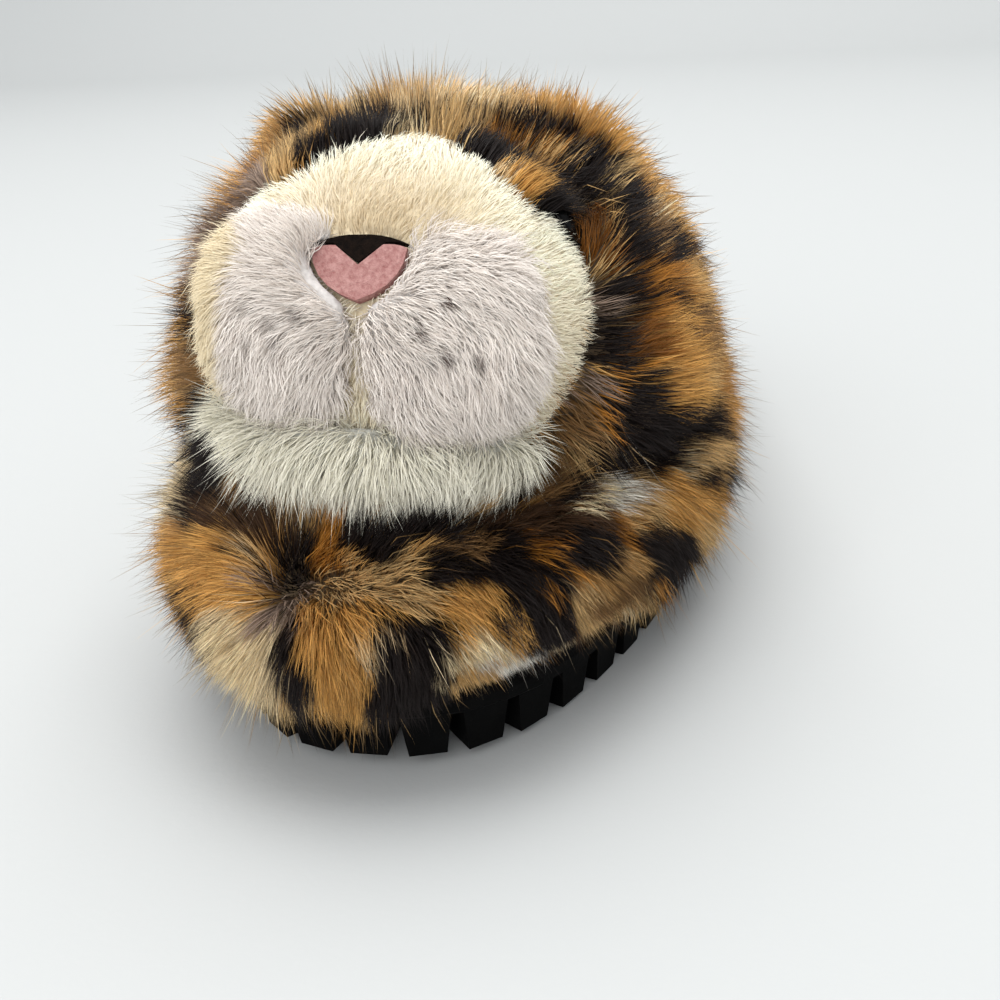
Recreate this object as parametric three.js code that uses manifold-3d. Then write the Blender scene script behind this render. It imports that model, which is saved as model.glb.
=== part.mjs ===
// Faux fur platform slide, left shoe: a plush big-cat head on a closed vamp, a fur-wrapped
// platform and a lugged outsole. Millimetres, +Z up, toe towards -Y, outer side towards +X.
// Along the shoe, y is measured back from the toe tip until the finished group is centred.
import * as THREE from 'three';
import { mergeVertices } from 'three/addons/utils/BufferGeometryUtils.js';
import Module from 'manifold-3d';

const wasm = await Module();
wasm.setup();

// Sizes of the outsole
const soleLength = 282;
const ballWidth = 114;
const slabHeight = 6;
const slabStep = 1.5;
const toeSpring = 4;
const heelSpring = 1.5;
const lugHeight = 10;
const lugPitch = 14;
const lugWidth = 11;
const lugDepth = 15;
const lugTaper = 3;
const barPitch = 22;
const barWidth = 9;

// Sizes of the platform and the footbed
const deckAtToe = 51;
const deckAtHeel = 58;
const toeRim = 38;
const sideRim = 9;
const heelRim = 12;
const seatDepth = 5;
const insoleHeight = 7;
const archRise = 2;

// Sizes of the vamp
const vampWall = 5;
const vampLength = 116;
const toeBoxLength = 48;
const instepHeight = 52;
const collarSweep = 14;

// Sizes of the stuffed head, its felt-lined ears and its eyes
const headWidth = 106;
const headDepth = 92;
const headHeight = 102;
const headBack = 77;
const headLift = 71;
const cheekLift = 4;
const cheekSpread = 0.13;
const earWidth = 25;
const earHeight = 23;
const earThickness = 12;
const earSplay = 0.6;
const earShift = 3;
const eyeWidth = 14;

// Sizes of the stuffed muzzle, its whisker pads, chin and felt nose
const muzzleWidth = 80;
const muzzleDepth = 62;
const muzzleHeight = 72;
const muzzleBack = 43;
const muzzleLift = 86;
const muzzleSide = -0.2;
const padWidth = 38;
const padDepth = 26;
const padHeight = 40;
const chinWidth = 65;
const chinDepth = 34;
const chinHeight = 26;
const noseWidth = 18.5;
const noseHeight = 9.8;
const noseNotch = 3;
const noseRimHeight = 1.6;
const noseLean = 0.55;
const noseBack = 5;
const noseLift = 20.8;
const noseClearance = 1.07;

// Clearance between pieces, and the locks of the pile
const gap = 0.3;
const lockLength = 8;
const lockWidth = 9;
const lockRoot = 1.5;

// Sole plan: width and sideways shift as shares of the ball width
const solePlan = [
  { along: 0.00, width: 0.95, sideways: -0.035 },
  { along: 0.15, width: 0.98, sideways: -0.025 },
  { along: 0.30, width: 1.00, sideways: 0.000 },
  { along: 0.50, width: 0.88, sideways: 0.025 },
  { along: 0.65, width: 0.82, sideways: 0.020 },
  { along: 0.85, width: 0.82, sideways: 0.000 },
  { along: 1.00, width: 0.80, sideways: 0.000 },
];

// Lift of the tread, as shares of the toe and heel spring
const treadLift = [
  { along: 0.00, toe: 1.00, heel: 0.00 },
  { along: 0.08, toe: 0.45, heel: 0.00 },
  { along: 0.16, toe: 0.10, heel: 0.00 },
  { along: 0.24, toe: 0.00, heel: 0.00 },
  { along: 0.88, toe: 0.00, heel: 0.00 },
  { along: 0.94, toe: 0.00, heel: 0.25 },
  { along: 1.00, toe: 0.00, heel: 1.00 },
];

// Padded rim of the platform, from the turned-under edge up and over towards the footbed: out
// from the sole's edge as a share of the side rim, rise as a share of the platform's height
const rimProfile = [
  { out: -1.30, rise: 0.00 },
  { out: -0.10, rise: 0.00 },
  { out: 0.28, rise: 0.12 },
  { out: 0.44, rise: 0.36 },
  { out: 0.44, rise: 0.62 },
  { out: 0.28, rise: 0.86 },
  { out: 0.00, rise: 0.98 },
  { out: -0.22, rise: 1.00 },
];

// Rows of locks on the rim, in the same shares
const rimLocks = [
  { out: 0.40, rise: 0.30 },
  { out: 0.45, rise: 0.56 },
  { out: 0.34, rise: 0.80 },
];
const locksPerRow = 29;

// Footbed levels: inset from its edge as a share of half the ball width, rise as a share of
// its height
const footbed = [
  { inset: 0.00, rise: 0.00 },
  { inset: 0.00, rise: 0.75 },
  { inset: 0.035, rise: 1.00 },
  { inset: 0.20, rise: 0.82 },
  { inset: 0.38, rise: 0.76 },
];

// Vamp sections from the toe back: bulge of the sides as a share of the ball width, and height
// inside as a share of the instep height
const vampPlan = [
  { along: 0.00, bulge: 0.01, height: 0.66 },
  { along: 0.35, bulge: 0.03, height: 0.78 },
  { along: 0.70, bulge: 0.035, height: 0.94 },
  { along: 1.00, bulge: 0.02, height: 1.00 },
  { along: 1.30, bulge: 0.01, height: 1.02 },
];

// Roundness of the ends and arches: 2 is an ellipse, more is squarer
const endRoundness = 2.5;
const toeBoxRoundness = 2.4;
const archRoundness = 2.4;

// Steps in the round shapes
const planSteps = 48;
const archSteps = 16;
const toeSteps = 7;
const sideSteps = 5;

// Smooth value of one column of a table at a share of the length
function valueAt(table, column, along) {
  const last = table.length - 1;
  const spot = THREE.MathUtils.clamp(along, table[0].along, table[last].along);
  let row = 0;
  while (row < last - 1 && table[row + 1].along < spot) row += 1;
  const slopeAt = (i) => {
    const before = table[Math.max(i - 1, 0)];
    const after = table[Math.min(i + 1, last)];
    return (after[column] - before[column]) / (after.along - before.along);
  };
  const span = table[row + 1].along - table[row].along;
  const t = (spot - table[row].along) / span;
  const rise = table[row + 1][column] - table[row][column];
  const start = slopeAt(row) * span;
  const end = slopeAt(row + 1) * span;
  const bend = 3 * rise - 2 * start - end;
  return table[row][column] + t * (start + t * (bend + t * (start + end - 2 * rise)));
}

// Power of a sine or cosine that squares an ellipse off
function squared(value, roundness) {
  return Math.sign(value) * Math.abs(value) ** (2 / roundness);
}

// Half the sole's width and the middle of the sole at a distance from the toe
function soleAt(y) {
  return {
    half: 0.5 * ballWidth * valueAt(solePlan, 'width', y / soleLength),
    middle: ballWidth * valueAt(solePlan, 'sideways', y / soleLength),
  };
}

// Point on the sole's outline; turn 0 is the toe tip, a quarter turn the outer side
function outlinePoint(turn) {
  const y = (soleLength * (1 - squared(Math.cos(turn), endRoundness))) / 2;
  const { half, middle } = soleAt(y);
  return new THREE.Vector2(middle + half * squared(Math.sin(turn), endRoundness), y);
}

// Direction square to the outline, pointing out of the sole
function outlineNormal(turn) {
  const before = outlinePoint(turn - 0.01);
  const after = outlinePoint(turn + 0.01);
  return new THREE.Vector2(after.y - before.y, before.x - after.x).normalize();
}

// Turns of a plan ring, in pairs that face each other across the foot
const planTurns = Array.from({ length: planSteps }, (_, i) => (2 * Math.PI * (i + 0.5)) / planSteps);

// Ring round the sole at a distance out from its edge
function soleRing(out, height) {
  return planTurns.map((turn) => {
    const spot = outlinePoint(turn).addScaledVector(outlineNormal(turn), out);
    return new THREE.Vector3(spot.x, spot.y, height(spot.y));
  });
}

// Point on the footbed's outline between the toe, side and heel rims, grown outwards
function seatPoint(turn, grow) {
  const seatLength = soleLength - toeRim - heelRim;
  const y = toeRim + (seatLength * (1 - squared(Math.cos(turn), endRoundness))) / 2;
  const { half, middle } = soleAt(y);
  const across = squared(Math.sin(turn), endRoundness);
  return {
    x: middle + (half - sideRim + grow) * across,
    y: y - grow * squared(Math.cos(turn), endRoundness),
    half: (half - sideRim + grow) * Math.abs(across),
    middle,
  };
}

function seatRing(grow, height) {
  return planTurns.map((turn) => {
    const { x, y } = seatPoint(turn, grow);
    return new THREE.Vector3(x, y, height(x, y));
  });
}

// Lift of the tread off the floor
function spring(y) {
  const along = y / soleLength;
  return toeSpring * valueAt(treadLift, 'toe', along) + heelSpring * valueAt(treadLift, 'heel', along);
}

// Heights of the platform's underside and top
const platformFloor = (y) => spring(y) + lugHeight + slabHeight + gap;
const deckShare = (y) => THREE.MathUtils.smoothstep(y / soleLength, 0.1, 0.9);
const deck = (y) => THREE.MathUtils.lerp(deckAtToe, deckAtHeel, deckShare(y));

// Closed skin over rings of points; each end is closed across facing pairs of points
function loft(rings) {
  const size = rings[0].length;
  const positions = rings.flat().flatMap((p) => [p.x, p.y, p.z]);
  const index = [];
  for (let r = 0; r < rings.length - 1; r += 1) {
    for (let i = 0; i < size; i += 1) {
      const a = r * size + i;
      const b = r * size + ((i + 1) % size);
      index.push(a, b, a + size, b, b + size, a + size);
    }
  }
  const top = (rings.length - 1) * size;
  for (let i = 0; i < size / 2 - 1; i += 1) {
    const j = size - 1 - i;
    index.push(i, j, i + 1, i + 1, j, j - 1);
    index.push(top + i, top + i + 1, top + j, top + i + 1, top + j - 1, top + j);
  }
  const geometry = new THREE.BufferGeometry();
  geometry.setAttribute('position', new THREE.Float32BufferAttribute(positions, 3));
  geometry.setIndex(index);
  return geometry;
}

// Closed mesh to solid, without its collapsed triangles and turned right side out
function solid(geometry) {
  const bare = new THREE.BufferGeometry();
  bare.setAttribute('position', geometry.getAttribute('position'));
  bare.setIndex(geometry.getIndex());
  const merged = mergeVertices(bare, 1e-4);
  const positions = merged.getAttribute('position').array;
  const index = merged.getIndex().array;
  const corners = [];
  let volume = 0;
  for (let t = 0; t < index.length; t += 3) {
    const [a, b, c] = [index[t], index[t + 1], index[t + 2]];
    if (a === b || b === c || c === a) continue;
    const [p, q, r] = [a, b, c].map((i) => new THREE.Vector3().fromArray(positions, 3 * i));
    volume += p.dot(q.cross(r));
    corners.push(a, b, c);
  }
  if (volume < 0) corners.reverse();
  return new wasm.Manifold(new wasm.Mesh({
    numProp: 3,
    vertProperties: new Float32Array(positions),
    triVerts: new Uint32Array(corners),
  }));
}

const cutBy = (shape, cutters) => cutters.reduce((left, cutter) => left.subtract(cutter), shape);

// Largest body of a cut solid
const mainBody = (shape) => shape.decompose().sort((a, b) => b.volume() - a.volume())[0];

// Pointed lock of pile standing on a surface, leaning along the lay
function lock(root, outward, lay, size = 1) {
  const aim = outward.clone().addScaledVector(lay, 0.8).normalize();
  const cone = new THREE.ConeGeometry(0.5 * lockWidth * size, 1.5 * lockLength * size, 4, 1);
  cone.translate(0, 0.25 * lockLength * size, 0);
  cone.applyQuaternion(new THREE.Quaternion().setFromUnitVectors(new THREE.Vector3(0, 1, 0), aim));
  cone.translate(root.x, root.y, root.z);
  return solid(cone);
}

// Body with its locks fused on, the locks kept clear of the neighbours
function furred(body, locks, neighbours) {
  return mainBody(body.add(cutBy(wasm.Manifold.union(locks), neighbours)));
}

const down = new THREE.Vector3(0, 0, -1);
const back = new THREE.Vector3(0, 1, 0);

// One block of the tread, narrower at the floor; its outer face leans in under the sole
function treadBlock(edge, along, inward, width, depth) {
  const ring = (taper, height) => [[-1, 0], [-1, 1], [1, 1], [1, 0]].map(([side, inner]) => {
    const spot = edge.clone().addScaledVector(along, side * (width / 2 - taper / 2));
    spot.addScaledVector(inward, inner ? depth - taper : taper / 2);
    return new THREE.Vector3(spot.x, spot.y, height);
  });
  const lift = spring(edge.y);
  return solid(loft([ring(lugTaper, lift), ring(0, lift + lugHeight + slabHeight / 4)]));
}

// Lugs spaced evenly round the sole's edge
function edgeLugs() {
  const lugs = [];
  const strides = 720;
  const stride = (2 * Math.PI) / strides;
  let travelled = 0;
  for (let i = 0; i < strides; i += 1) {
    const here = outlinePoint(i * stride);
    const along = outlinePoint((i + 1) * stride).sub(here);
    travelled += along.length();
    if (travelled < lugs.length * lugPitch) continue;
    along.normalize();
    const inward = new THREE.Vector2(-along.y, along.x);
    here.addScaledVector(inward, slabStep + gap);
    lugs.push(treadBlock(here, along, inward, lugWidth, lugDepth));
  }
  return lugs;
}

// Slanting bars down the middle of the sole
function treadBars() {
  const bars = [];
  for (let y = lugDepth + 1.5 * barPitch; y < soleLength - lugDepth - barPitch; y += barPitch) {
    const { half, middle } = soleAt(y);
    const reach = half - lugDepth - lugTaper - slabStep;
    for (const side of [-1, 1]) {
      const along = new THREE.Vector2(-0.35 * side, 1).normalize();
      const inward = new THREE.Vector2(-side * along.y, side * along.x);
      const edge = new THREE.Vector2(middle + side * reach, y);
      bars.push(treadBlock(edge, along, inward, barWidth, reach - lugTaper));
    }
  }
  return bars;
}

// Outsole: slab with a stepped edge, its lugs and bars
function outsole() {
  const level = (out, share) => soleRing(out, (y) => spring(y) + lugHeight + share * slabHeight);
  const slab = solid(loft([level(-slabStep, 0), level(0, 0.2), level(0, 0.6), level(-slabStep, 1)]));
  return mainBody(slab.add(wasm.Manifold.union([...edgeLugs(), ...treadBars()])));
}

// Foam platform with its padded rim and locks; the footbed's seat is sunk into the top
function platformWrap() {
  const heightAt = (rise) => (y) => THREE.MathUtils.lerp(platformFloor(y), deck(y), rise);
  const rings = rimProfile.map(({ out, rise }) => soleRing(out * sideRim, heightAt(rise)));
  rings.push(seatRing(0, (x, y) => deck(y)), seatRing(0, (x, y) => deck(y) - seatDepth));
  const locks = rimLocks.flatMap(({ out, rise }, row) => Array.from({ length: locksPerRow }, (_, i) => {
    const turn = (2 * Math.PI * (i + 0.5 * (row % 2))) / locksPerRow;
    const normal = outlineNormal(turn);
    const spot = outlinePoint(turn).addScaledVector(normal, out * sideRim - lockRoot);
    const root = new THREE.Vector3(spot.x, spot.y, heightAt(rise)(spot.y));
    return lock(root, new THREE.Vector3(normal.x, normal.y, 0), down);
  }));
  return furred(solid(loft(rings)), locks, []);
}

// Footbed: cupped round its edge, raised along the inner arch
function insole() {
  return solid(loft(footbed.map(({ inset, rise }) => seatRing(-gap - inset * 0.5 * ballWidth, (x, y) => {
    const nearArch = Math.exp(-(((y / soleLength - 0.55) / 0.16) ** 2));
    const arch = archRise * nearArch * THREE.MathUtils.smoothstep(-x / ballWidth, 0, 0.3);
    return deck(y) - seatDepth + gap + rise * (insoleHeight + arch);
  }))));
}

// Rings of the vamp's form, closed over the toe and running on past the collar
function vampRings(grow, past) {
  const seatLength = soleLength - toeRim - heelRim;
  const turnAt = (run) => Math.acos(Math.sign(1 - (2 * run) / seatLength)
    * Math.abs(1 - (2 * run) / seatLength) ** (endRoundness / 2));
  const toeTurn = turnAt(toeBoxLength);
  const lastTurn = turnAt(vampLength + past);
  const turns = [];
  for (let i = 0; i < toeSteps; i += 1) turns.push((toeTurn * (i + 0.4)) / (toeSteps - 0.6));
  for (let i = 1; i <= sideSteps; i += 1) turns.push(toeTurn + ((lastTurn - toeTurn) * i) / sideSteps);
  return turns.map((turn) => {
    const base = seatPoint(turn, grow);
    const run = seatPoint(turn, 0).y - toeRim;
    const share = run / vampLength;
    const open = Math.max(0, 1 - run / toeBoxLength);
    const close = (1 - open ** toeBoxRoundness) ** (1 / toeBoxRoundness);
    const bulge = ballWidth * valueAt(vampPlan, 'bulge', share);
    const height = instepHeight * valueAt(vampPlan, 'height', share) * close + grow;
    return Array.from({ length: archSteps }, (_, j) => {
      const side = (Math.PI * j) / (archSteps - 1);
      const up = squared(Math.sin(side), archRoundness);
      const half = base.half + bulge * Math.sin(Math.PI * Math.min(1, 1.6 * up));
      const y = base.y + collarSweep * share ** 3 * (1 - up);
      const x = base.middle + half * squared(Math.cos(side), archRoundness);
      return new THREE.Vector3(x, y, deck(y) - seatDepth + (height + seatDepth) * up);
    });
  });
}

const vampForm = (grow, past) => solid(loft(vampRings(grow, past)));

// Locks on the open back and sides of the vamp
function vampLocks() {
  const rings = vampRings(2 * gap + vampWall - lockRoot, 0);
  const lay = new THREE.Vector3(0, 0.7, -0.5);
  const locks = [];
  for (const r of rings.keys()) {
    if (r < toeSteps / 2 || r > rings.length - 2) continue;
    for (let j = 2 + (r % 2); j < archSteps - 2; j += 2) {
      const along = rings[r + 1][j].clone().sub(rings[r - 1][j]);
      const round = rings[r][j + 1].clone().sub(rings[r][j - 1]);
      locks.push(lock(rings[r][j], along.cross(round).normalize(), lay));
    }
  }
  return locks;
}

// Everything below the platform's top and a clearance over it
function belowDeck(clearance) {
  return solid(loft([soleRing(toeRim, () => 0), soleRing(toeRim, (y) => deck(y) + clearance)]));
}

// Point of a stuffed form in a direction from its centre, grown outwards
function formPoint(direction, form, grow) {
  const { centre, half, plan = 2, side = 2, tilt = 0, yaw = 0, splay = 0, spread = 0 } = form;
  const d = direction;
  const level = (Math.abs(d.x) ** plan + Math.abs(d.y) ** plan) ** (side / plan);
  const reach = (level + Math.abs(d.z) ** side) ** (-1 / side);
  const point = half.clone().multiplyScalar(reach).addScalar(grow).multiply(d);
  point.x *= 1 + spread * THREE.MathUtils.smoothstep(-d.z, -0.25, 0.25);
  return point.applyEuler(new THREE.Euler(tilt, splay, yaw, 'ZYX')).add(centre);
}

// Stuffed form: a ball stretched to its half sizes and squared off
function stuffed(form, grow = 0) {
  const geometry = new THREE.SphereGeometry(1, form.steps, Math.round(form.steps * 0.6));
  const position = geometry.getAttribute('position');
  for (let i = 0; i < position.count; i += 1) {
    const d = new THREE.Vector3(position.getX(i), -position.getZ(i), position.getY(i)).normalize();
    const point = formPoint(d, form, grow);
    position.setXYZ(i, point.x, point.y, point.z);
  }
  return solid(geometry);
}

// Locks spread evenly over a stuffed form, kept where a test on the spot holds
function stuffedLocks(form, count, lay, size, keep) {
  const locks = [];
  for (let i = 0; i < count; i += 1) {
    const height = 1 - (2 * (i + 0.5)) / count;
    const turn = i * Math.PI * (3 - Math.sqrt(5));
    const flat = Math.sqrt(1 - height * height);
    const d = new THREE.Vector3(flat * Math.cos(turn), flat * Math.sin(turn), height);
    const root = formPoint(d, form, -lockRoot);
    const outward = formPoint(d, form, 1).sub(root).normalize();
    if (keep(root)) locks.push(lock(root, outward, lay, size));
  }
  return locks;
}

const halves = (width, depth, height) => new THREE.Vector3(width / 2, depth / 2, height / 2);

const headForm = {
  centre: new THREE.Vector3(0, headBack, headLift),
  half: halves(headWidth, headDepth, headHeight),
  plan: 2.7,
  side: 2.2,
  spread: cheekSpread,
  steps: 23,
};

// Eyes and ears sit where a line from the head's centre leaves it, the eyes beside the muzzle
const eyeShare = (0.81 * muzzleWidth) / headWidth;
const eyeForm = (side) => ({
  centre: formPoint(new THREE.Vector3(eyeShare * side, -0.67, 0.64).normalize(), headForm, 0),
  half: halves(eyeWidth, eyeWidth, 1.1 * eyeWidth),
  steps: 12,
});

const earForm = (side) => ({
  centre: formPoint(new THREE.Vector3(0.57 * side + earShift / headHeight, -0.04, 0.82).normalize(), headForm,
    -earHeight / 6),
  half: halves(earWidth, earThickness, earHeight),
  plan: 2.3,
  tilt: -0.5,
  splay: earSplay * side,
  steps: 14,
});

const muzzleForm = {
  centre: new THREE.Vector3(muzzleSide, muzzleBack, muzzleLift),
  half: halves(muzzleWidth, muzzleDepth, muzzleHeight),
  plan: 2.3,
  side: 1.9,
  tilt: -0.25,
  steps: 20,
};

const muzzleFront = muzzleBack - muzzleDepth / 2;

const padForm = (side) => ({
  centre: new THREE.Vector3(muzzleSide + 0.39 * side * padWidth, muzzleFront + 0.4 * padDepth,
    muzzleLift + (0.06 - 0.02 * side) * muzzleHeight),
  half: halves(padWidth, padDepth, padHeight),
  plan: 2.2,
  side: 2.3,
  tilt: -0.22,
  yaw: 0.25 * side,
  steps: 16,
});

const chinForm = {
  centre: new THREE.Vector3(muzzleSide - 0.035 * muzzleWidth, muzzleFront + 0.42 * chinDepth,
    muzzleLift - 0.255 * muzzleHeight),
  half: halves(chinWidth, chinDepth, chinHeight),
  plan: 2.4,
  side: 2.2,
  tilt: 0.15,
  steps: 18,
};

// Side of the mouth line that belongs to the other pad
function otherSide(side) {
  const block = new THREE.BoxGeometry(muzzleWidth, 2 * muzzleDepth, 2 * muzzleHeight);
  block.translate(muzzleSide - side * (muzzleWidth / 2 - gap / 2), muzzleFront, muzzleLift);
  return solid(block);
}

// Top edge of the nose from left to right, two lobes with a notch between them
function noseTop(shape, w, lift) {
  shape.quadraticCurveTo(-0.8 * w, 0.10 * noseHeight + lift, -0.5 * w, 0.08 * noseHeight + lift);
  shape.lineTo(0, lift - noseNotch);
  shape.lineTo(0.5 * w, 0.08 * noseHeight + lift);
  shape.quadraticCurveTo(0.8 * w, 0.10 * noseHeight + lift, w, lift);
}

// Bottom edge of the nose from right to left
function noseBottom(shape, w) {
  shape.quadraticCurveTo(0.95 * w, -0.72 * noseHeight, 0, -noseHeight);
  shape.quadraticCurveTo(-0.95 * w, -0.72 * noseHeight, -w, 0);
}

// Top edge of the rim from one of its ends to the other
function rimArch(shape, w, lift) {
  shape.quadraticCurveTo(0.5 * w, 1.9 * noseRimHeight, 0, 1.7 * noseRimHeight);
  shape.quadraticCurveTo(-0.5 * w, 1.9 * noseRimHeight, -w, lift);
}

// Upside-down heart of the nose; the middle of its top edge is at the origin
function noseShape() {
  const w = noseWidth / 2;
  const shape = new THREE.Shape();
  shape.moveTo(-w, 0);
  noseTop(shape, w, 0);
  noseBottom(shape, w);
  return shape;
}

// Thin rim over the nose, filling its notch
const rimHalf = 0.55 * noseWidth;
const rimLift = 1.5 * gap;
function noseRimShape() {
  const shape = new THREE.Shape();
  shape.moveTo(-rimHalf, rimLift);
  noseTop(shape, rimHalf, rimLift);
  rimArch(shape, rimHalf, rimLift);
  return shape;
}

// Outline of the nose and its rim together
function wholeNoseShape() {
  const w = noseWidth / 2;
  const shape = new THREE.Shape();
  shape.moveTo(-rimHalf, rimLift);
  rimArch(shape, -rimHalf, rimLift);
  shape.lineTo(w, 0);
  noseBottom(shape, w);
  return shape;
}

// Felt patch on the front of the muzzle, its top edge leaning back; the room it needs
// between the pads is a little larger and reaches out past it
function felt(shape, size = 1, reach = 0) {
  const depth = muzzleDepth / 4;
  const cut = { depth: depth + reach, bevelEnabled: false, curveSegments: 5 };
  const geometry = new THREE.ExtrudeGeometry(shape, cut);
  geometry.translate(0, 0, -depth);
  geometry.scale(size, size, 1);
  geometry.rotateX(Math.PI / 2 - noseLean);
  geometry.translate(muzzleSide + 0.01 * muzzleWidth, muzzleFront + noseBack, muzzleLift + noseLift);
  geometry.deleteAttribute('normal');
  geometry.deleteAttribute('uv');
  return solid(mergeVertices(geometry, 1e-4));
}

function named(name, shape, colour, roughness = 0.95) {
  const { vertProperties, triVerts } = shape.getMesh();
  const geometry = new THREE.BufferGeometry();
  geometry.setAttribute('position', new THREE.Float32BufferAttribute(vertProperties, 3));
  geometry.setIndex(new THREE.Uint32BufferAttribute(triVerts, 1));
  geometry.computeVertexNormals();
  const material = new THREE.MeshStandardMaterial({ color: colour, roughness, metalness: 0 });
  const mesh = new THREE.Mesh(geometry, material);
  mesh.name = name;
  return mesh;
}

// Clearances that the pieces leave each other
const sides = [-1, 1];
const ground = belowDeck(gap);
const vampInside = vampForm(2 * gap, 2 * collarSweep);
const vampGrown = vampForm(3 * gap + vampWall, collarSweep);
const headGrown = stuffed(headForm, gap);
const headReach = stuffed(headForm, lockLength + gap);
const cheekRoom = belowDeck(cheekLift);
const muzzleGrown = stuffed(muzzleForm, gap);
const padsGrown = sides.map((side) => stuffed(padForm(side), gap));
const noseRoom = felt(wholeNoseShape(), noseClearance, padDepth);
const setIn = sides.flatMap((side) => [stuffed(eyeForm(side), gap), stuffed(earForm(side), gap)]);

const vampShell = mainBody(cutBy(vampForm(2 * gap + vampWall, 0), [vampInside, ground]));
const upper = furred(vampShell, vampLocks(), [vampInside, belowDeck(2 * gap), headReach, muzzleGrown]);

const headBody = mainBody(cutBy(stuffed(headForm), [vampGrown, cheekRoom]));
const headLocks = stuffedLocks(headForm, 88, back, 1, (p) => p.z > 0.85 * headLift && p.y > 0.47 * headBack);
const head = mainBody(cutBy(furred(headBody, headLocks, [vampGrown, cheekRoom, muzzleGrown]), setIn));

const faceRoom = [muzzleGrown, headGrown, vampGrown];
const chinRoom = [...faceRoom, ...padsGrown, ground];
const chinBody = mainBody(cutBy(stuffed(chinForm), chinRoom));
const { centre: chinCentre } = chinForm;
const chinLocks = stuffedLocks(chinForm, 50, down, 0.7, (p) => p.z < chinCentre.z && p.y < chinCentre.y);

const slide = new THREE.Group();
slide.add(named('outsole', outsole(), 0x101014, 0.6));
slide.add(named('platform_wrap', platformWrap(), 0xb8864c));
slide.add(named('insole', insole(), 0xd8c4a0));
slide.add(named('upper', upper, 0xa9783f));
slide.add(named('head', head, 0xc08a48));
slide.add(named('muzzle', mainBody(cutBy(stuffed(muzzleForm), [headGrown, vampGrown])), 0xf0e4c6));
slide.add(named('chin', furred(chinBody, chinLocks, chinRoom), 0xe8e8e0));
slide.add(named('nose', mainBody(cutBy(felt(noseShape()), [muzzleGrown])), 0xc98f8f));
slide.add(named('nose_rim', mainBody(cutBy(felt(noseRimShape()), [muzzleGrown])), 0x1a1412));
for (const [side, word] of [[-1, 'left'], [1, 'right']]) {
  const pad = mainBody(cutBy(stuffed(padForm(side)), [...faceRoom, otherSide(side), noseRoom]));
  slide.add(named(`pad_${word}`, pad, 0xdad4d0));
  const eye = mainBody(cutBy(stuffed(eyeForm(side)), [muzzleGrown, vampGrown]));
  slide.add(named(`eye_${word}`, eye, 0x0a0a0c, 0.15));
  slide.add(named(`ear_${word}`, stuffed(earForm(side)), 0xa9783f));
}

// The origin is on the floor, in the middle of the shoe's length and width
const extent = new THREE.Box3().setFromObject(slide);
const middle = extent.getCenter(new THREE.Vector3());
slide.position.set(-middle.x, -middle.y, -extent.min.z);

export default slide;
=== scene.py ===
# Faux fur platform slide: pile, cloth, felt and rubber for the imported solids, in metres.
import math

import bmesh
import bpy
import numpy as np
from mathutils import Matrix, Vector
from mathutils.bvhtree import BVHTree
from mathutils.kdtree import KDTree


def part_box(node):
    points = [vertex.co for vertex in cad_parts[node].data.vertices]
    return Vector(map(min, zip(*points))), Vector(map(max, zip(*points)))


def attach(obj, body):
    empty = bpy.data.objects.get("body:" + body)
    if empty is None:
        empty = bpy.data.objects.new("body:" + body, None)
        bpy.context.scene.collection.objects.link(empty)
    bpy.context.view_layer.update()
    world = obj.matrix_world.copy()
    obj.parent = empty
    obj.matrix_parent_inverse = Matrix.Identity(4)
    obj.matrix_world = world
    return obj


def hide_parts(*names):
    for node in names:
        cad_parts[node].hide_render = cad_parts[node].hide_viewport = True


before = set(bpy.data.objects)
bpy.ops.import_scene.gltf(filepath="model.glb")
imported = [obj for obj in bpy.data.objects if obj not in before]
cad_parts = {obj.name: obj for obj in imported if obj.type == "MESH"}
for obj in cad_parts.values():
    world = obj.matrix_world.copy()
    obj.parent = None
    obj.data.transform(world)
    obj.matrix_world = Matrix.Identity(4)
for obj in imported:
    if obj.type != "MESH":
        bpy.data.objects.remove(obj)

scene = bpy.context.scene
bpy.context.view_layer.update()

# Camera: close in front of the toe, a little to the shoe's outer side and well above it,
# with a short lens that makes the face large. The picture is turned slightly.
camera_turn = math.radians(12.549)
camera_height = math.radians(24.026)
camera_roll = math.radians(-3.614)
camera_aim = Vector((0.0117, -0.0700, 0.0319))
camera_reach = 0.3167
camera_lens = 46.8
picture_size = 1000

camera_back = Vector((math.sin(camera_turn) * math.cos(camera_height),
                      -math.cos(camera_turn) * math.cos(camera_height),
                      math.sin(camera_height)))
level_right = Vector((math.cos(camera_turn), math.sin(camera_turn), 0))
level_up = camera_back.cross(level_right)
picture_right = level_right * math.cos(camera_roll) + level_up * math.sin(camera_roll)
picture_up = level_up * math.cos(camera_roll) - level_right * math.sin(camera_roll)
eye = camera_aim + camera_back * camera_reach

camera = bpy.data.objects.new("camera", bpy.data.cameras.new("camera"))
scene.collection.objects.link(camera)
camera.matrix_world = Matrix((picture_right, picture_up, camera_back)).transposed().to_4x4()
camera.location = eye
camera.data.lens = camera_lens
camera.data.sensor_width = 36
camera.data.sensor_fit = "HORIZONTAL"
camera.data.clip_start = 0.01
scene.camera = camera

# Studio: one sheet of white paper that runs along the table and curves up behind the shoe,
# under a large soft light overhead and a weaker one at the front.
sweep_back = 1.25
sweep_radius = 0.50
sweep_half_width = 5.0
sweep_front = -1.6
sweep_rise = 1.5
sweep_turn = math.radians(84)
sweep_steps = 24
wall_lean = 0.16

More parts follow.
